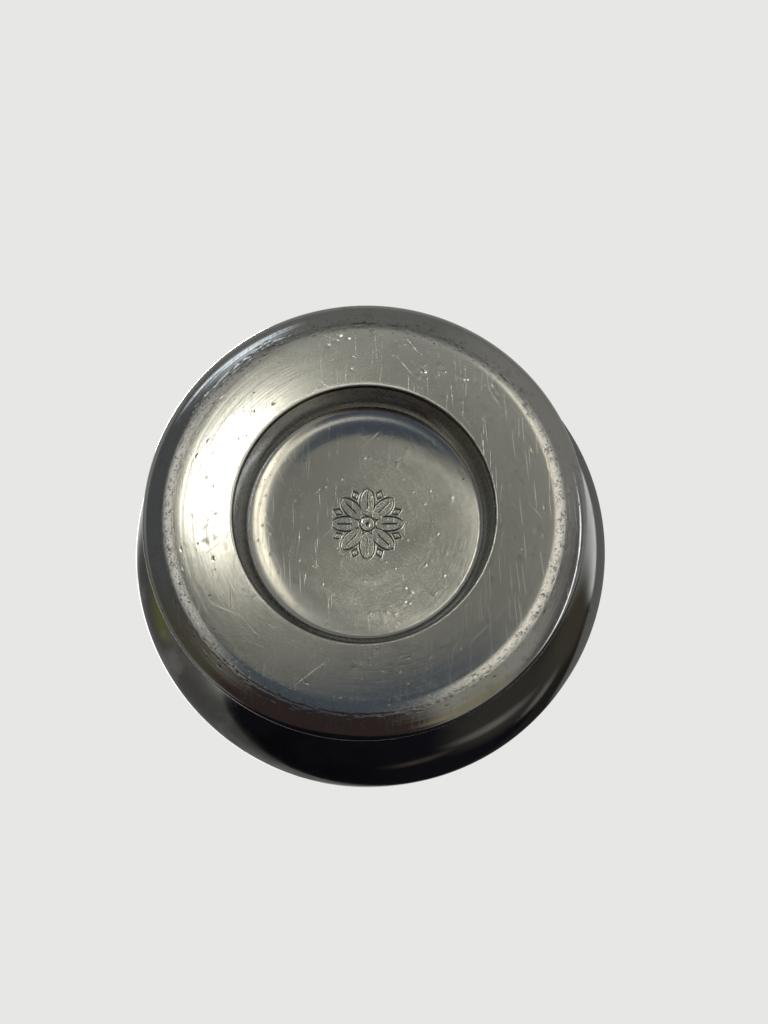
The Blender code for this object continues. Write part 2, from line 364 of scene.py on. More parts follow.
def scatter(seed, count, low, high, size, deep, middle=None, width=None):
    """Random spots between two radii, bunched round middle when it is given."""
    dice = np.random.default_rng(seed)
    spots = []
    for _ in range(count):
        if middle is None:
            radius = math.sqrt(dice.uniform(low ** 2, high ** 2))
        else:
            radius = float(np.clip(dice.normal(middle, width), low, high))
        big = dice.uniform(*size)
        spots.append((radius, dice.uniform(0, TAU), big, dice.uniform(*deep)))
    return spots


FULL_PIT = 0.045                # a pit this deep is fully dark
GROOVE_DEPTH = 0.05


def facing(angle, middle, reach):
    """1 round the given bearing, falling to 0 beyond the reach, both in degrees."""
    apart = (np.degrees(angle) - middle + 180.0) % 360.0 - 180.0
    return np.exp(-(apart / reach) ** 4)


# groups of small bright knocks on the foot's face: (radius, bearing)
DINGS = ((31.9, 283.0), (27.4, 298.0), (28.7, 309.0), (31.0, 318.0), (26.0, 292.0), (30.5, 262.0))


def foot_relief(radius, height, angle):
    dice = np.random.default_rng(17)
    under = np.clip((4.0 - height) / 2.0, 0.0, 1.0)
    turned = 0.0009 * grooves(radius, 11) * under
    uneven = 0.0025 * waves(radius * 0.25, angle, 12) * under
    wear = scatter(13, 1300, 31.3, 35.2, (0.05, 0.16), (0.015, 0.05), GROOVE_RADIUS - 0.1, 0.55)
    field = scatter(14, 70, 23.5, 37.0, (0.05, 0.13), (0.015, 0.05))
    knocks = scatter(15, 9, 24.0, 33.0, (0.30, 0.6), (0.004, 0.012))
    dings = [(middle + dice.normal(0.0, 0.8), math.radians(bearing + dice.normal(0.0, 1.6)),
              dice.uniform(0.2, 0.35), dice.uniform(0.015, 0.04))
             for middle, bearing in DINGS for _ in range(5)]
    pits = dents(radius, angle, wear + field) * under
    soft = dents(radius, angle, knocks + dings) * under
    broken = np.clip(0.5 + 0.6 * waves(radius * 0.1, angle, 16, count=24, turns=70), 0.0, 1.0)
    # painted shade: the groove is painted darkest round 290 degrees; the pits are dark in their own right
    shade = np.maximum(facing(angle, 290.0, 62.0), 0.2)
    groove = GROOVE_DEPTH * np.exp(-((radius - GROOVE_RADIUS - 0.05) / 0.16) ** 2)
    groove = groove * (0.3 + 0.7 * broken) * under
    dark_pits_and_groove_shade = np.clip(pits / FULL_PIT + groove / GROOVE_DEPTH * broken * shade, 0.0, 1.0)
    # painted highlight on real wear: the worn contact band is kept to the sides round 15 and 176 degrees,
    # where it shows warm and bright like the lamp's highlight
    round_sides = np.maximum(facing(angle, 15.0, 52.0), facing(angle, 176.0, 40.0))
    wear_and_highlight = np.exp(-((radius - GROOVE_RADIUS + 0.55) / 0.85) ** 4) * round_sides * under
    # painted highlight: a bright line along the recess edge, on the side round 225 degrees
    painted_highlight = np.exp(-((radius - RECESS_RADIUS - 0.2) / 0.2) ** 2) * facing(angle, 225.0, 80.0) * under
    push = turned + uneven - pits - soft - groove
    return push, {"pits_and_groove_shade": dark_pits_and_groove_shade, "wear_and_highlight": wear_and_highlight, "painted_highlight": painted_highlight}


STAMP_CENTRE = (0.25, 0.33)
ENGRAVED_DEPTH = 0.04
PETALS, PETAL_MIDDLE, PETAL_REACH = 8, 3.9, 2.5


def stroke(distance, width, soft=0.07):
    """1 on a line of the given width, falling to 0 over a soft edge."""
    edge = np.clip((width / 2 + soft - np.abs(distance)) / (2 * soft), 0.0, 1.0)
    return edge * edge * (3.0 - 2.0 * edge)


def ring_copies(x, y, copies, phase=0.0):
    """Distance out, and distance across, in the nearest of equal sectors."""
    out = np.hypot(x, y)
    step = TAU / copies
    turned = (np.arctan2(y, x) - phase + step / 2) % step - step / 2
    return out * np.cos(turned), out * np.sin(turned)


def rosette(x, y):
    """Depth mask of the stamped flower: eight veined petals, leaves between them, a round eye."""
    out = np.hypot(x, y)
    forward, across = ring_copies(x, y, PETALS)
    width = 1.35 * np.sqrt(np.clip(1.0 - ((forward - PETAL_MIDDLE) / PETAL_REACH) ** 2, 0.0, 1.0))
    depth = stroke(np.abs(across) - width, 0.20) * (np.abs(forward - PETAL_MIDDLE) < PETAL_REACH + 0.2)
    vein = np.maximum(np.abs(forward - 4.1) - 1.3, 0.0)
    depth = np.maximum(depth, stroke(np.hypot(vein, across), 0.18))
    forward, across = ring_copies(x, y, PETALS, TAU / PETALS / 2)
    seed_leaf = np.abs(forward - 5.7) / 0.85 + np.abs(across) / 0.62
    depth = np.maximum(depth, stroke((seed_leaf - 1.0) * 0.5, 0.18))
    depth = np.maximum(depth, stroke(out - 1.35, 0.2))
    return np.maximum(depth, stroke(out, 0.7))


def cup_relief(radius, height, angle):
    x = radius * np.cos(angle) - STAMP_CENTRE[0]
    y = radius * np.sin(angle) - STAMP_CENTRE[1]
    visible = (height < RECESS_DEPTH + 0.05) | (radius > 17.5)
    floor = visible & (radius < 14.15)
    engraved = np.where(floor, rosette(x, y), 0.0)
    under = visible.astype(float)
    uneven = 0.0025 * waves(radius * 0.4, angle, 22, turns=6) * under
    turned = 0.0005 * grooves(radius, 21) * under
    pits = dents(radius, angle, scatter(23, 130, 1.0, 21.5, (0.06, 0.15), (0.012, 0.04))) * under
    # towards the lower right the floor runs on evenly to a tight cove
    missing = np.maximum(RECESS_DEPTH - FLOOR_DISH * (radius / FLOOR_RADIUS) ** 2 - height, 0.0)
    level = missing * np.clip((21.3 - radius) / 0.9, 0.0, 1.0) * facing(angle, 35.0, 80.0) * under
    push = uneven + turned - pits - level - ENGRAVED_DEPTH * engraved
    # painted highlight: a bright arc on the cove, on the side round 222 degrees
    painted_highlight = 0.9 * np.exp(-((radius - 19.3) / 0.45) ** 2) * facing(angle, 222.0, 78.0) * under
    return push, {"pits_and_groove_shade": np.clip(pits / FULL_PIT, 0.0, 1.0), "painted_highlight": painted_highlight, "engraved": engraved}


def body_relief(radius, height, angle):
    outside = radius > np.interp(height, (12.0, 34.0, 60.0), (0.0, 40.0, 39.0))
    low = 0.03 * waves(height * 0.25, angle, 31, turns=6)
    spin_marks = 0.0006 * grooves(height + radius, 32, (1.1, 1.7, 2.9))
    return (low + spin_marks) * outside, {"inside": 1.0 - outside}


def lid_relief(radius, height, angle):
    low = 0.02 * waves(radius * 0.3, angle, 41, turns=5)
    spin_marks = 0.0006 * grooves(radius, 42, (0.9, 1.5, 2.6))
    return (low * 0.6 + spin_marks) * np.clip(radius / 6.0, 0.0, 1.0), {}


# ---------------------------------------------------------------- materials

class Nodes:
    """Short helpers for building a node tree."""

    def __init__(self, tree):
        self.tree = tree

    def node(self, kind, **settings):
        made = self.tree.nodes.new(kind)
        for key, value in settings.items():
            setattr(made, key, value)
        return made

    def feed(self, socket, value):
        if isinstance(value, bpy.types.NodeSocket):
            self.tree.links.new(value, socket)
        else:
            socket.default_value = value

    def math(self, operation, *values):
        made = self.node("ShaderNodeMath", operation=operation)
        for socket, value in zip(made.inputs, values):
            self.feed(socket, value)
        return made.outputs[0]

    def times(self, first, second):
        return self.math("MULTIPLY", first, second)

    def plus(self, total, value, weight):
        """total + value * weight"""
        return self.math("ADD", total, self.times(value, weight))

    def span(self, value, low, high, out_low=0.0, out_high=1.0):
        """Maps low..high smoothly to out_low..out_high, held at both ends."""
        made = self.node("ShaderNodeMapRange", interpolation_type="SMOOTHSTEP")
        for socket, number in zip(made.inputs, (value, low, high, out_low, out_high)):
            self.feed(socket, number)
        return made.outputs[0]

    def mix(self, factor, first, second):
        made = self.node("ShaderNodeMix", data_type="RGBA")
        self.feed(made.inputs["Factor"], factor)
        for socket, value in zip((made.inputs[6], made.inputs[7]), (first, second)):
            self.feed(socket, value if isinstance(value, bpy.types.NodeSocket) else (*value, 1.0))
        return made.outputs[2]

    def noise(self, vector, scale, detail=2.0, rough=0.5, w=None):
        made = self.node("ShaderNodeTexNoise", noise_dimensions="4D" if w is not None else "3D")
        self.feed(made.inputs["Vector"], vector)
        self.feed(made.inputs["Scale"], scale)
        self.feed(made.inputs["Detail"], detail)
        self.feed(made.inputs["Roughness"], rough)
        if w is not None:
            self.feed(made.inputs["W"], w)
        return made.outputs["Fac"]

    def vector(self, x, y, z):
        made = self.node("ShaderNodeCombineXYZ")
        for socket, value in zip(made.inputs, (x, y, z)):
            self.feed(socket, value)
        return made.outputs[0]

    def attribute(self, name):
        return self.node("ShaderNodeAttribute", attribute_name=name).outputs["Fac"]


class Shader(Nodes):
    """A Principled material and the places on its surface."""

    def __init__(self, name):
        self.material = bpy.data.materials.new(name)
        self.material.use_nodes = True
        super().__init__(self.material.node_tree)
        self.bsdf = self.tree.nodes["Principled BSDF"]

    def places(self):
        """Position in millimetres, radius from the axis, and sine and cosine round it."""
        where = self.node("ShaderNodeTexCoord").outputs["Object"]
        scaled = self.node("ShaderNodeVectorMath", operation="SCALE")
        self.feed(scaled.inputs[0], where)
        self.feed(scaled.inputs["Scale"], 1.0 / MM)
        self.where = scaled.outputs[0]
        split = self.node("ShaderNodeSeparateXYZ")
        self.feed(split.inputs[0], self.where)
        self.x, self.y, self.z = split.outputs
        squares = self.math("ADD", self.times(self.x, self.x), self.times(self.y, self.y))
        self.radius = self.math("SQRT", self.math("ADD", squares, 1e-4))
        self.cosine = self.math("DIVIDE", self.x, self.radius)
        self.sine = self.math("DIVIDE", self.y, self.radius)

    def lathe(self, fineness, drift):
        """Noise drawn out round the axis: radius and height count, angle hardly does."""
        line = self.vector(self.times(self.radius, fineness), self.times(self.z, fineness),
                           self.times(self.cosine, drift))
        return self.noise(line, 1.0, 3.0, 0.65, self.times(self.sine, drift))

    def surface(self, colour, rough, height, deep):
        """Feeds colour, roughness and a bump whose unit of height is deep millimetres."""
        self.feed(self.bsdf.inputs["Base Color"], colour)
        self.feed(self.bsdf.inputs["Roughness"], rough)
        bump = self.node("ShaderNodeBump")
        bump.inputs["Strength"].default_value = 1.0
        bump.inputs["Distance"].default_value = deep * MM
        self.feed(bump.inputs["Height"], height)
        self.feed(self.bsdf.inputs["Normal"], bump.outputs[0])


def hairlines_group():
    """Node group that draws straight hairline scratches, one in each cell of a long grid."""
    group = bpy.data.node_groups.new("hairlines", "ShaderNodeTree")
    names = (("U", 0.0), ("V", 0.0), ("Angle", 0.0), ("Length", 8.0), ("Spacing", 1.0), ("Width", 0.05),
             ("Keep", 0.5), ("Seed", 0.0))
    for name, start in names:
        group.interface.new_socket(name, in_out="INPUT", socket_type="NodeSocketFloat").default_value = start
    group.interface.new_socket("Line", in_out="OUTPUT", socket_type="NodeSocketFloat")
    enter = group.nodes.new("NodeGroupInput").outputs
    leave = group.nodes.new("NodeGroupOutput").inputs

    def calc(operation, *values):
        made = group.nodes.new("ShaderNodeMath")
        made.operation = operation
        for socket, value in zip(made.inputs, values):
            if isinstance(value, bpy.types.NodeSocket):
                group.links.new(value, socket)
            else:
                socket.default_value = value
        return made.outputs[0]

    def dice(u, v):
        pair = group.nodes.new("ShaderNodeCombineXYZ")
        group.links.new(u, pair.inputs[0])
        group.links.new(v, pair.inputs[1])
        group.links.new(enter["Seed"], pair.inputs[2])
        roll = group.nodes.new("ShaderNodeTexWhiteNoise")
        group.links.new(pair.outputs[0], roll.inputs["Vector"])
        parts = group.nodes.new("ShaderNodeSeparateColor")
        group.links.new(roll.outputs["Color"], parts.inputs[0])
        return roll.outputs["Value"], parts.outputs

    cosine, sine = calc("COSINE", enter["Angle"]), calc("SINE", enter["Angle"])
    along = calc("ADD", calc("MULTIPLY", enter["U"], cosine), calc("MULTIPLY", enter["V"], sine))
    across = calc("SUBTRACT", calc("MULTIPLY", enter["V"], cosine), calc("MULTIPLY", enter["U"], sine))
    lane = calc("DIVIDE", across, enter["Spacing"])
    row = calc("FLOOR", lane)
    shift, _ = dice(row, row)
    run = calc("ADD", calc("DIVIDE", along, enter["Length"]), shift)
    cell = calc("FLOOR", run)
    _, parts = dice(row, cell)
    part_along = calc("FRACT", run)
    middle = calc("ADD", 0.3, calc("MULTIPLY", parts[0], 0.4))
    slope = calc("MULTIPLY", calc("SUBTRACT", parts[1], 0.5), calc("SUBTRACT", part_along, 0.5))
    centre = calc("ADD", middle, calc("MULTIPLY", slope, 0.5))
    offset = calc("ABSOLUTE", calc("SUBTRACT", calc("FRACT", lane), centre))
    taper = calc("MULTIPLY", 4.0, calc("MULTIPLY", part_along, calc("SUBTRACT", 1.0, part_along)))
    distance = calc("MULTIPLY", offset, enter["Spacing"])
    half = calc("MULTIPLY", enter["Width"], taper)
    line = calc("SUBTRACT", 1.0, calc("DIVIDE", distance, calc("ADD", half, 1e-4)))
    kept = calc("LESS_THAN", parts[2], enter["Keep"])
    drawn = calc("MULTIPLY", calc("MAXIMUM", line, 0.0), kept)
    group.links.new(drawn, leave["Line"])
    return group


HAIRLINES = hairlines_group()


def hairlines(shader, u, v, layers):
    """The strongest of several layers of scratches: (angle, length, spacing, width, keep)."""
    total = 0.0
    for number, layer in enumerate(layers):
        made = shader.node("ShaderNodeGroup", node_tree=HAIRLINES)
        shader.feed(made.inputs["U"], u)
        shader.feed(made.inputs["V"], v)
        for name, value in zip(("Angle", "Length", "Spacing", "Width", "Keep"), layer):
            shader.feed(made.inputs[name], value)
        shader.feed(made.inputs["Seed"], 3.7 + 5.1 * number)
        total = shader.math("MAXIMUM", total, made.outputs["Line"])
    return total


def specks(shader, scale, size, keep):
    """Small round spots of random size, in a random part of the cells."""
    cells = shader.node("ShaderNodeTexVoronoi", feature="F1")
    shader.feed(cells.inputs["Vector"], shader.where)
    shader.feed(cells.inputs["Scale"], scale)
    parts = shader.node("ShaderNodeSeparateColor")
    shader.feed(parts.inputs[0], cells.outputs["Color"])
    reach = shader.math("MULTIPLY", parts.outputs[0], size)
    spot = shader.span(shader.math("SUBTRACT", cells.outputs["Distance"], reach), -0.04, 0.03, 1.0, 0.0)
    return shader.math("MULTIPLY", spot, shader.math("LESS_THAN", parts.outputs[1], keep))


def satin_pewter(name, engraved=False):
    """Underside metal: turned, handled and pitted, with brown stain where the painted highlights don't cover
    it, a painted lighter recess wall, painted groove shade and warm painted highlights on the contact band's
    sides, the recess edge and the cove.
    """
    shader = Shader(name)
    shader.places()
    times, plus, span = shader.times, shader.plus, shader.span
    fine = shader.lathe(9.0, 1.5)
    coarse = shader.lathe(1.7, 0.8)
    drawn_out = shader.vector(times(shader.x, 9.0), times(shader.y, 0.8), shader.z)
    hatch = shader.noise(drawn_out, 1.0, 3.0, 0.7)
    cloud = shader.noise(shader.where, 0.12, 4.0, 0.55)
    grime = shader.noise(shader.where, 0.55, 5.0, 0.6)
    scratches = hairlines(shader, shader.x, shader.y, (
        (1.50, 6.0, 0.9, 0.03, 0.2), (1.60, 4.0, 1.6, 0.035, 0.25), (0.35, 9.0, 3.6, 0.03, 0.2),
        (2.45, 12.0, 4.4, 0.03, 0.2), (0.95, 4.0, 3.2, 0.035, 0.2)))
    tiny = specks(shader, 0.9, 0.18, 0.16)
    brushed = shader.math("MAXIMUM", fine, hatch)

    wear_and_highlight = shader.attribute("wear_and_highlight")
    painted_highlight = shader.attribute("painted_highlight")
    grit = shader.noise(shader.where, 2.6, 4.0, 0.75)
    coarse_grit = shader.noise(shader.where, 0.5, 3.0, 0.6)
    chewed = times(span(plus(grit, coarse_grit, 0.5), 0.78, 0.88), span(wear_and_highlight, 0.15, 0.8))
    pits_and_groove_shade = shader.math("MAXIMUM", shader.attribute("pits_and_groove_shade"), chewed)
    wall = times(span(shader.z, 1.2, 2.6), span(shader.radius, 20.0, 21.3))
    behind = span(shader.math("SUBTRACT", times(shader.cosine, 0.55), shader.sine), 0.35, 1.0)
    patchy = span(shader.noise(shader.where, 0.22, 4.0, 0.6), 0.38, 0.62)
    stain = times(wall, times(patchy, behind))
    roll = times(span(shader.radius, 33.6, 34.6), span(shader.z, 8.0, 6.0))

    metal = shader.mix(cloud, (0.45, 0.455, 0.425), (0.54, 0.545, 0.52))
    metal = shader.mix(span(brushed, 0.45, 0.7, 0.0, 0.35), metal, (0.36, 0.36, 0.335))
    metal = shader.mix(span(grime, 0.52, 0.72, 0.0, 0.35), metal, (0.27, 0.255, 0.22))
    metal = shader.mix(times(stain, 0.8), metal, (0.34, 0.26, 0.14))
    # painted lightening: above about 2.6 mm and outside about 21 mm the colour is made lighter, so the
    # recess wall looks lit
    metal = shader.mix(times(wall, 0.5), metal, (0.72, 0.72, 0.68))
    # warm painted highlights: the contact band's two lit sides, which are also really worn, the recess edge
    # line and the cove arc
    metal = shader.mix(shader.math("MAXIMUM", times(wear_and_highlight, 0.95), painted_highlight), metal, (0.93, 0.90, 0.82))
    metal = shader.mix(times(tiny, 0.6), metal, (0.06, 0.055, 0.05))
    # dark pits, and the painted shade in the foot's groove
    metal = shader.mix(times(pits_and_groove_shade, 0.85), metal, (0.035, 0.03, 0.025))
    if engraved:
        metal = shader.mix(times(shader.attribute("engraved"), 0.9), metal, (0.035, 0.034, 0.03))

    rough = plus(0.085, span(brushed, 0.45, 0.70), 0.07)
    rough = plus(rough, span(coarse, 0.45, 0.75), 0.03)
    rough = plus(rough, span(grime, 0.5, 0.75), 0.06)
    rough = plus(rough, wear_and_highlight, 0.24)
    rough = plus(rough, wall, 0.14)
    rough = plus(rough, painted_highlight, 0.25)
    rough = plus(rough, shader.math("MAXIMUM", pits_and_groove_shade, tiny), 0.3)
    rough = plus(rough, roll, -0.03)

    height = plus(times(fine, 0.12), hatch, 0.05)
    height = plus(height, scratches, -0.35)
    height = plus(height, tiny, -2.5)
    height = plus(height, grime, 0.10)
    height = plus(height, times(wear_and_highlight, grit), 7.0)
    shader.surface(metal, rough, height, 0.006)

    # less metal under the painted highlights, so that they catch the pale diffuse light and show brighter
    less_metal_for_sheen = shader.math("MAXIMUM", times(wear_and_highlight, 0.5), times(painted_highlight, 0.35))
    shader.feed(shader.bsdf.inputs["Metallic"], shader.math("SUBTRACT", 1.0, less_metal_for_sheen))
    shader.bsdf.inputs["Anisotropic"].default_value = 0.3
    tangent = shader.node("ShaderNodeTangent", direction_type="RADIAL", axis="Z")
    shader.feed(shader.bsdf.inputs["Tangent"], tangent.outputs[0])
    return shader.material


def polished_pewter(name, around_radius, softness=0.035, with_dark_reflection=False):
    """Outer metal: nearly a mirror, with fine wiping scratches and faint haze, and when asked a painted dark
    reflection on one side of the lower belly.
    """
    shader = Shader(name)
    shader.places()
    times, plus, span = shader.times, shader.plus, shader.span
    fine = shader.lathe(5.0, 1.2)
    cloud = shader.noise(shader.where, 0.07, 3.0, 0.5)
    haze = shader.noise(shader.where, 0.35, 5.0, 0.6)
    turned = times(shader.math("ARCTAN2", shader.y, shader.x), around_radius)
    scratches = hairlines(shader, turned, shader.z, (
        (0.08, 9.0, 2.3, 0.025, 0.25), (0.5, 7.0, 4.3, 0.025, 0.2), (2.7, 8.0, 4.9, 0.025, 0.2),
        (1.5, 5.0, 5.1, 0.025, 0.15)))
    tiny = specks(shader, 0.35, 0.12, 0.25)
    inside = shader.attribute("inside")

    metal = shader.mix(cloud, (0.55, 0.555, 0.53), (0.64, 0.645, 0.625))
    metal = shader.mix(span(haze, 0.55, 0.75, 0.0, 0.3), metal, (0.42, 0.40, 0.36))
    metal = shader.mix(times(tiny, 0.7), metal, (0.07, 0.065, 0.055))
    painted_dark_reflection = 0.0
    # painted reflection: a mottled dark patch on one side of the lower belly, round 140 degrees, stands in
    # for a mirrored dark shade
    if with_dark_reflection:
        toward = shader.math("SUBTRACT", times(shader.sine, 0.64), times(shader.cosine, 0.77))
        low = times(span(shader.z, 17.0, 26.0, 0.15, 1.0), span(shader.z, 50.0, 38.0))
        mottled = span(shader.noise(shader.where, 0.10, 4.0, 0.55), 0.36, 0.60, 0.25, 1.0)
        painted_dark_reflection = times(times(span(toward, 0.45, 0.85), low), mottled)
        metal = shader.mix(times(painted_dark_reflection, 0.75), metal, (0.12, 0.12, 0.115))
    metal = shader.mix(inside, metal, (0.80, 0.80, 0.78))

    rough = plus(softness, span(haze, 0.4, 0.75), 0.07)
    rough = plus(rough, fine, 0.03)
    rough = plus(rough, scratches, 0.12)
    rough = plus(rough, painted_dark_reflection, 0.10)
    rough = plus(rough, inside, 0.30)

    height = plus(times(fine, 0.35), scratches, -0.7)
    height = plus(height, tiny, -1.5)
    shader.surface(metal, rough, height, 0.002)
    shader.bsdf.inputs["Metallic"].default_value = 1.0
    return shader.material


def plain_metal(name, light, dark_pits_and_groove_shade, roughness, grain):
    """Small fittings: a two-tone metal with grain in its colour, roughness and surface."""
    shader = Shader(name)
    shader.places()
    mottle = shader.noise(shader.where, grain, 5.0, 0.6)
    fine = shader.noise(shader.where, grain * 6.0, 3.0, 0.6)
    colour = shader.mix(shader.span(mottle, 0.3, 0.7), dark_pits_and_groove_shade, light)
    rough = shader.plus(roughness, shader.math("SUBTRACT", fine, 0.5), 0.2)
    shader.surface(colour, rough, shader.math("ADD", mottle, fine), 0.01)
    shader.bsdf.inputs["Metallic"].default_value = 1.0
    return shader.material


# ---------------------------------------------------------------- the bowl and its lid

def build_pieces():
    satin = satin_pewter("satin_pewter")
    stamped = satin_pewter("stamped_pewter", engraved=True)
    polished = polished_pewter("polished_pewter", 45.0, with_dark_reflection=True)
    soft = polished_pewter("polished_lid_pewter", 30.0, 0.10)
    bright = polished_pewter("polished_knob_pewter", 7.0, 0.09)

    foot = shell(foot_outline(0.1), FOOT_WALL, 1.2)
    place(turn("foot_ring_spun", foot, 600, foot_relief), "bowl", "foot_ring", satin)
    cup = shell(cup_outline(), CUP_WALL, 1.2)
    place(turn("recess_cup_pressed", cup, 520, cup_relief), "bowl", "recess_cup", stamped)
    body = shell(body_outline(0.5), BODY_WALL, 0.8, lip=BODY_WALL / 2)
    place(turn("bowl_body_spun", body, 400, body_relief), "bowl", "bowl_body", polished)
    wire_radius = (WIRE_HIGH[2] - WIRE_LOW[2]) / 2
    wire_centre = (WIRE_HIGH[0] - wire_radius - GAP / 2, (WIRE_HIGH[2] + WIRE_LOW[2]) / 2)
    wire = arc(wire_centre, (wire_radius + GAP / 2, wire_radius), 180, -180, 28)[:-1]
    place(turn("rim_wire_drawn", np.array(wire), 400), "bowl", "rim_wire", soft)

    dome = turn("lid_dome_spun", lid_outline(0.5), 400, lid_relief)
    place(dome, "lid", "lid_dome", soft)
    place(turn("lid_bezel_turned", bezel_outline(), 300), "lid", "lid_bezel", satin)
    place(turn("knob_seat_turned", seat_outline(), 160), "lid", "knob_seat", bright)
    place(turn("lid_knob_turned", knob_outline(0.25), 200), "lid", "lid_knob", bright)

    solder = plain_metal("soft_solder", (0.42, 0.42, 0.41), (0.25, 0.25, 0.24), 0.45, 0.8)
    brass = plain_metal("dull_brass", (0.62, 0.46, 0.20), (0.38, 0.27, 0.12), 0.38, 0.9)
    for node, material in (("solder_seam", solder), ("knob_stud", brass), ("knob_nut", brass)):
        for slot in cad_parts[node].material_slots:
            slot.material = material


# ---------------------------------------------------------------- camera and studio

LENS = 33.0
SENSOR = 36.0
CAMERA_REACH = 158.7            # along the view, to the plane that the foot stands on
VIEW_TILT = math.radians(12.3)  # between the view and the bowl's axis
VIEW_LEAN = math.radians(85.2)  # which way the axis leans in the picture, from its right
ASIDE = (-0.0219, -0.0022)      # the foot's middle, right and down, per unit of reach


def add_camera():
    """Camera under the bowl, looking up at its foot. Right, down and forward are its axes."""
    axis = Vector((math.sin(VIEW_TILT) * math.cos(VIEW_LEAN), math.sin(VIEW_TILT) * math.sin(VIEW_LEAN),
                   math.cos(VIEW_TILT)))
    right = (Vector((1.0, 0.0, 0.0)) - axis * axis.x).normalized()
    world_axes = (right, axis.cross(right), axis)
    foot = Vector((ASIDE[0], ASIDE[1], 1.0)) * CAMERA_REACH * MM
    to_world = Matrix(world_axes)
    turn_over = Matrix(((1, 0, 0), (0, -1, 0), (0, 0, -1)))
    data = bpy.data.cameras.new("view")
    data.lens = LENS
    data.sensor_width = SENSOR
    data.clip_start = 0.01
    camera = bpy.data.objects.new("view", data)
    camera.matrix_world = Matrix.Translation(-(to_world @ foot)) @ (to_world @ turn_over).to_4x4()
    bpy.context.scene.collection.objects.link(camera)
    bpy.context.scene.camera = camera


def add_floor():
    """Pale table top at z = 0, a front side only, so that it can be looked up through."""
    mesh = bpy.data.meshes.new("floor")
    reach = 40.0
    corners = [(-reach, -reach, 0.0), (reach, -reach, 0.0), (reach, reach, 0.0), (-reach, reach, 0.0)]
    mesh.from_pydata(corners, [], [(0, 1, 2, 3)])
    floor = bpy.data.objects.new("floor", mesh)
    floor.location.z = -0.0002
    bpy.context.scene.collection.objects.link(floor)
    material = bpy.data.materials.new("pale_floor")
    material.use_nodes = True
    tree = material.node_tree
    paint = tree.nodes["Principled BSDF"]
    paint.inputs["Base Color"].default_value = (0.72, 0.71, 0.69, 1.0)
    paint.inputs["Roughness"].default_value = 0.7
    side = tree.nodes.new("ShaderNodeNewGeometry")
    clear = tree.nodes.new("ShaderNodeBsdfTransparent")
    choose = tree.nodes.new("ShaderNodeMixShader")
    tree.links.new(side.outputs["Backfacing"], choose.inputs[0])
    tree.links.new(paint.outputs[0], choose.inputs[1])
    tree.links.new(clear.outputs[0], choose.inputs[2])
    tree.links.new(choose.outputs[0], tree.nodes["Material Output"].inputs[0])
    mesh.materials.append(material)
    for ray in ("visible_diffuse", "visible_glossy", "visible_transmission", "visible_volume_scatter",
                "visible_shadow"):
        setattr(floor, ray, False)


# colour, (right, down), (half width, half height), turned, soft, power
PANES_BELOW = (
    ((0.19, 0.19, 0.165), (-0.20, -0.12), (0.16, 0.17), 0.0, 0.6, 2.0),    # olive wall
    ((0.27, 0.265, 0.235), (-0.02, -0.14), (0.12, 0.16), 0.0, 0.6, 2.0),    # warm wall
    ((2.8, 2.6, 2.1), (0.29, -0.14), (0.080, 0.28), -14.0, 0.5, 3.0),     # tall window, right
    ((0.42, 0.40, 0.35), (-0.40, -0.20), (0.05, 0.20), 0.0, 0.5, 3.0),     # tall window, left
    ((0.55, 0.54, 0.48), (-0.118, -0.252), (0.080, 0.05), 120.0, 0.8, 2.0),  # glow round the lamp
    ((12.0, 11.4, 10.0), (-0.130, -0.241), (0.044, 0.022), 126.0, 0.35, 2.5),  # lamp
    ((0.085, 0.105, 0.135), (-0.12, 0.177), (0.27, 0.25), -16.0, 0.02, 14.0),  # dark plate
)

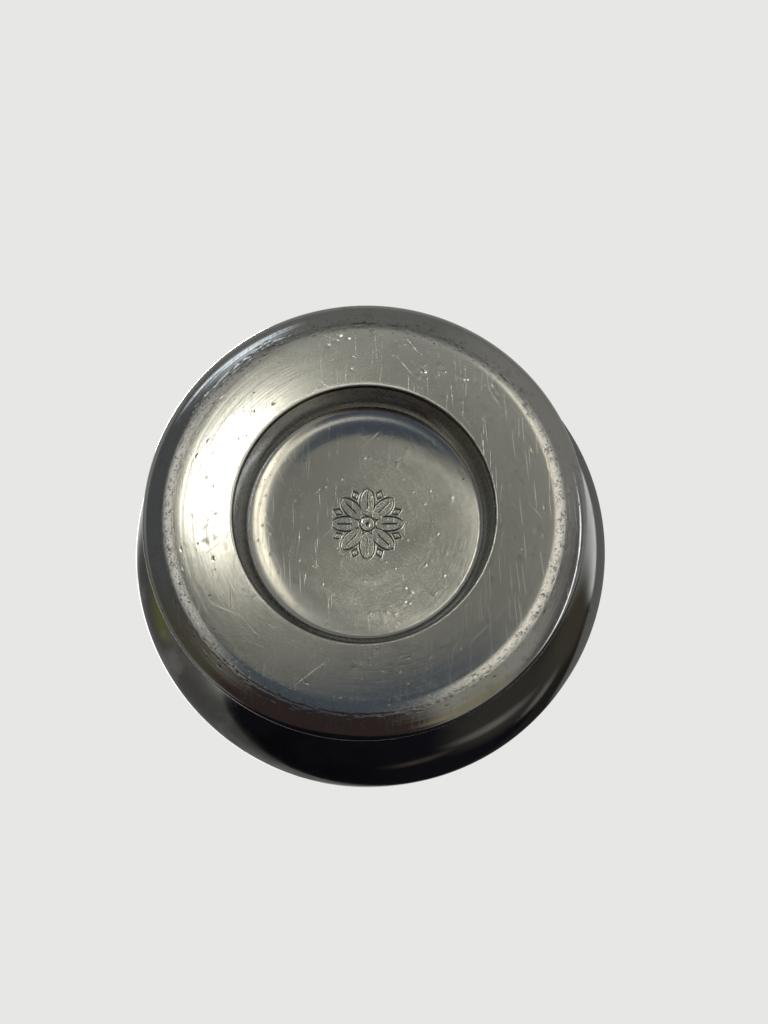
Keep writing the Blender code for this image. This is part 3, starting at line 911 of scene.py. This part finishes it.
# colour, angle from straight down, angle round, (half width, half height), turned, soft, power
CARDS_ROUND = (
    ((0.20, 0.20, 0.195), 50.0, 270.0, (1.0, 0.34), 0.0, 0.35, 3.0),       # shade behind
    ((0.30, 0.29, 0.28), 50.0, 318.0, (0.40, 0.28), 0.0, 0.4, 2.0),
    ((0.11, 0.115, 0.12), 47.0, 186.0, (0.70, 0.27), 0.0, 0.3, 2.0),       # shade on the left
    ((0.10, 0.09, 0.065), 50.0, 150.0, (0.35, 0.30), 0.0, 0.4, 2.0),
    ((0.045, 0.030, 0.030), 46.0, 104.0, (0.55, 0.45), 0.0, 0.2, 2.5),     # dark clothing
    ((0.32, 0.29, 0.20), 40.0, 54.0, (0.20, 0.16), 0.0, 0.4, 2.0),         # tan, lower right
    ((0.15, 0.13, 0.135), 48.0, 8.0, (0.42, 0.22), 0.0, 0.4, 2.0),
    ((2.6, 2.7, 2.9), 52.0, 8.0, (0.40, 0.030), 22.0, 0.4, 2.0),           # strip lamp, right
    ((1.9, 2.05, 2.3), 53.0, 236.0, (0.20, 0.020), 0.0, 0.5, 2.0),         # small window
    ((0.018, 0.017, 0.015), 110.0, 58.0, (1.15, 1.15), 0.0, 0.12, 4.0),    # dark room
    ((0.17, 0.17, 0.16), 122.0, 130.0, (0.50, 0.95), 0.0, 0.3, 2.0),       # shade, lower left
    ((0.17, 0.165, 0.16), 108.0, 168.0, (0.50, 1.00), 0.0, 0.3, 2.0),      # pale wall, left
    ((0.007, 0.007, 0.010), 98.0, 90.0, (0.72, 1.20), 39.8, 0.05, 10.0),   # dark clothing, far
    ((0.040, 0.036, 0.032), 86.0, 46.0, (0.36, 0.42), 0.0, 0.5, 2.0),
    ((0.055, 0.050, 0.038), 96.0, 16.0, (0.30, 0.30), 0.0, 0.5, 2.0),
    ((0.055, 0.045, 0.034), 96.0, 76.0, (0.16, 0.05), 12.0, 0.8, 2.0),
    ((0.16, 0.15, 0.14), 92.0, 52.0, (0.20, 0.06), -18.0, 0.9, 2.0),
    ((0.15, 0.14, 0.135), 108.0, 36.0, (0.12, 0.06), 30.0, 0.9, 2.0),
    ((0.26, 0.27, 0.10), 101.0, 170.0, (0.09, 0.20), 10.0, 0.9, 2.0),      # leaves
    ((0.13, 0.13, 0.125), 138.0, 336.0, (0.72, 0.42), 0.0, 0.10, 3.0),      # pale wall, right
    ((2.4, 2.4, 2.35), 166.0, 230.0, (0.42, 0.30), 0.0, 0.25, 3.0),        # soft box overhead
)


class Sky(Nodes):
    """What the metal mirrors: a colour for each direction, made of soft-edged cards."""

    def __init__(self, tree):
        super().__init__(tree)
        self.direction = self.node("ShaderNodeTexCoord").outputs["Generated"]
        self.height = self.along((0.0, 0.0, 1.0))
        drop = self.math("MAXIMUM", self.math("MULTIPLY", self.height, -1.0), 0.02)
        self.below = self.math("LESS_THAN", self.height, -0.02)
        self.right = self.math("DIVIDE", self.along((1.0, 0.0, 0.0)), drop)
        self.down = self.math("DIVIDE", self.along((0.0, 1.0, 0.0)), drop)

    def along(self, axis):
        made = self.node("ShaderNodeVectorMath", operation="DOT_PRODUCT")
        self.feed(made.inputs[0], self.direction)
        made.inputs[1].default_value = axis
        return made.outputs["Value"]

    def card(self, under, colour, polar, around, size, turned=0.0, soft=0.4, power=2.0):
        """Lays a card over the colour so far. polar is counted from straight down and around
        from +X to +Y, both in degrees; size is its half width and height over its distance."""
        polar, around, turned = (math.radians(value) for value in (polar, around, turned))
        facing = Vector((math.sin(polar) * math.cos(around), math.sin(polar) * math.sin(around),
                         -math.cos(polar)))
        side = Vector((-math.sin(around), math.cos(around), 0.0))
        outward = facing.cross(side)
        wide = side * math.cos(turned) + outward * math.sin(turned)
        high = outward * math.cos(turned) - side * math.sin(turned)
        near = self.along(facing)
        flat = self.math("MAXIMUM", near, 0.02)
        total = 0.0
        for axis, half in ((wide, size[0]), (high, size[1])):
            reach = self.math("DIVIDE", self.along(axis), self.math("MULTIPLY", flat, half))
            total = self.math("ADD", total, self.math("POWER", self.math("ABSOLUTE", reach), power))
        distance = self.math("POWER", total, 1.0 / power)
        mask = self.math("MULTIPLY", self.span(distance, 1.0 - soft, 1.0 + soft, 1.0, 0.0),
                         self.math("GREATER_THAN", near, 0.02))
        return self.mix(mask, under, colour)

    def pane(self, under, colour, centre, size, turned=0.0, soft=0.4, power=2.0):
        """Lays a card on a level plane below: centre and half size are along +X and +Y, over
        the plane's distance."""
        turned = math.radians(turned)
        x = self.math("SUBTRACT", self.right, centre[0])
        y = self.math("SUBTRACT", self.down, centre[1])
        along = self.plus(self.times(x, math.cos(turned)), y, math.sin(turned))
        across = self.plus(self.times(y, math.cos(turned)), x, -math.sin(turned))
        total = 0.0
        for reach, half in ((along, size[0]), (across, size[1])):
            part = self.math("ABSOLUTE", self.math("DIVIDE", reach, half))
            total = self.math("ADD", total, self.math("POWER", part, power))
        distance = self.math("POWER", total, 1.0 / power)
        mask = self.math("MULTIPLY", self.span(distance, 1.0 - soft, 1.0 + soft, 1.0, 0.0), self.below)
        return self.mix(mask, under, colour)


def add_world():
    """Plain pale surroundings for the camera, and soft cards for the metal to mirror."""
    world = bpy.data.worlds.new("studio")
    bpy.context.scene.world = world
    world.use_nodes = True
    sky = Sky(world.node_tree)
    mirrored = sky.mix(sky.span(sky.down, -0.42, -0.20), (0.46, 0.46, 0.43), (0.37, 0.37, 0.345))
    mirrored = sky.mix(sky.span(sky.height, -0.85, -0.5), mirrored, (0.30, 0.30, 0.295))
    mirrored = sky.mix(sky.span(sky.height, 0.0, 0.55), mirrored, (0.86, 0.87, 0.87))
    for card in CARDS_ROUND:
        mirrored = sky.card(mirrored, *card)
    for pane in PANES_BELOW:
        mirrored = sky.pane(mirrored, *pane)
    path = sky.node("ShaderNodeLightPath")
    seen = sky.mix(path.outputs["Is Glossy Ray"], (0.80, 0.80, 0.79), mirrored)
    background = world.node_tree.nodes["Background"]
    sky.feed(background.inputs["Color"], seen)
    world.cycles.sampling_method = "NONE"
    bpy.context.scene.view_settings.view_transform = "Standard"


def add_light(name, place_at, aim, size, power, colour=(1.0, 1.0, 1.0)):
    data = bpy.data.lights.new(name, "AREA")
    data.shape = "DISK"
    data.size = size
    data.energy = power
    data.color = colour
    lamp = bpy.data.objects.new(name, data)
    lamp.location = place_at
    lamp.rotation_euler = (Vector(aim) - Vector(place_at)).to_track_quat("-Z", "Y").to_euler()
    bpy.context.scene.collection.objects.link(lamp)


build_pieces()
add_camera()
add_floor()
add_world()
add_light("key", (-0.5, -0.6, 0.8), (0.0, 0.0, 0.04), 0.5, 9.0)
